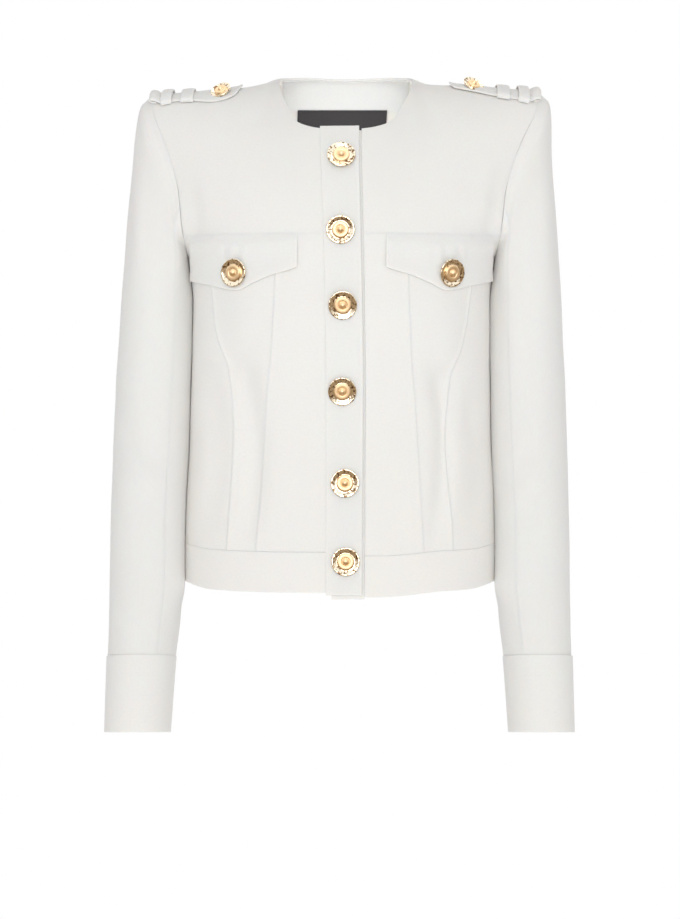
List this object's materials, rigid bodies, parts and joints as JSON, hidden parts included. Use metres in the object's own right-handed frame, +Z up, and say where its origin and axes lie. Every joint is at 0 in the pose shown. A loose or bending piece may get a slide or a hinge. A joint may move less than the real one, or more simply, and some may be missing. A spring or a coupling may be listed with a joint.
{
  "type": "cropped jacket",
  "caption": "Cropped, fitted round-neck jacket with long sleeves, buttoned placket, pocket flaps, shoulder tabs and hem band, in its hollow worn form.",
  "frame": {"origin": "midway between the two high shoulder points, where the jacket rests on the wearer's shoulders", "axes": "+Z up the wearer's body, -Y to the front, +X to the wearer's left"},
  "size_m": [0.4408, 0.2236, 0.6301],
  "materials": {
    "ivory_cloth": "matte ivory woven wool blend",
    "woven_label": "plain black woven ribbon",
    "button_metal": "pale gold, polished rim and satin boss"
  },
  "bodies": {
    "root": {"back_neck_facing": "ivory_cloth", "back_yoke": "ivory_cloth", "button_placket": "ivory_cloth", "centre_back": "ivory_cloth", "centre_front_left": "ivory_cloth", "centre_front_right": "ivory_cloth", "cuff_left": "ivory_cloth", "cuff_right": "ivory_cloth", "front_button_1": "button_metal", "front_button_2": "button_metal", "front_button_3": "button_metal", "front_button_4": "button_metal", "front_button_5": "button_metal", "front_button_6": "button_metal", "front_panel_left": "ivory_cloth", "front_panel_right": "ivory_cloth", "front_yoke_left": "ivory_cloth", "front_yoke_right": "ivory_cloth", "hem_band_back": "ivory_cloth", "hem_band_left": "ivory_cloth", "hem_band_right": "ivory_cloth", "neck_label": "woven_label", "pocket_button_left": "button_metal", "pocket_button_right": "button_metal", "pocket_flap_left": "ivory_cloth", "pocket_flap_right": "ivory_cloth", "shoulder_button_left": "button_metal", "shoulder_button_right": "button_metal", "shoulder_loop_inner_left": "ivory_cloth", "shoulder_loop_inner_right": "ivory_cloth", "shoulder_loop_outer_left": "ivory_cloth", "shoulder_loop_outer_right": "ivory_cloth", "shoulder_tab_left": "ivory_cloth", "shoulder_tab_right": "ivory_cloth", "side_back_left": "ivory_cloth", "side_back_right": "ivory_cloth", "side_front_left": "ivory_cloth", "side_front_right": "ivory_cloth", "sleeve_under_left": "ivory_cloth", "sleeve_under_right": "ivory_cloth", "sleeve_upper_left": "ivory_cloth", "sleeve_upper_right": "ivory_cloth", "under_placket": "ivory_cloth"}
  },
  "joints": []
}
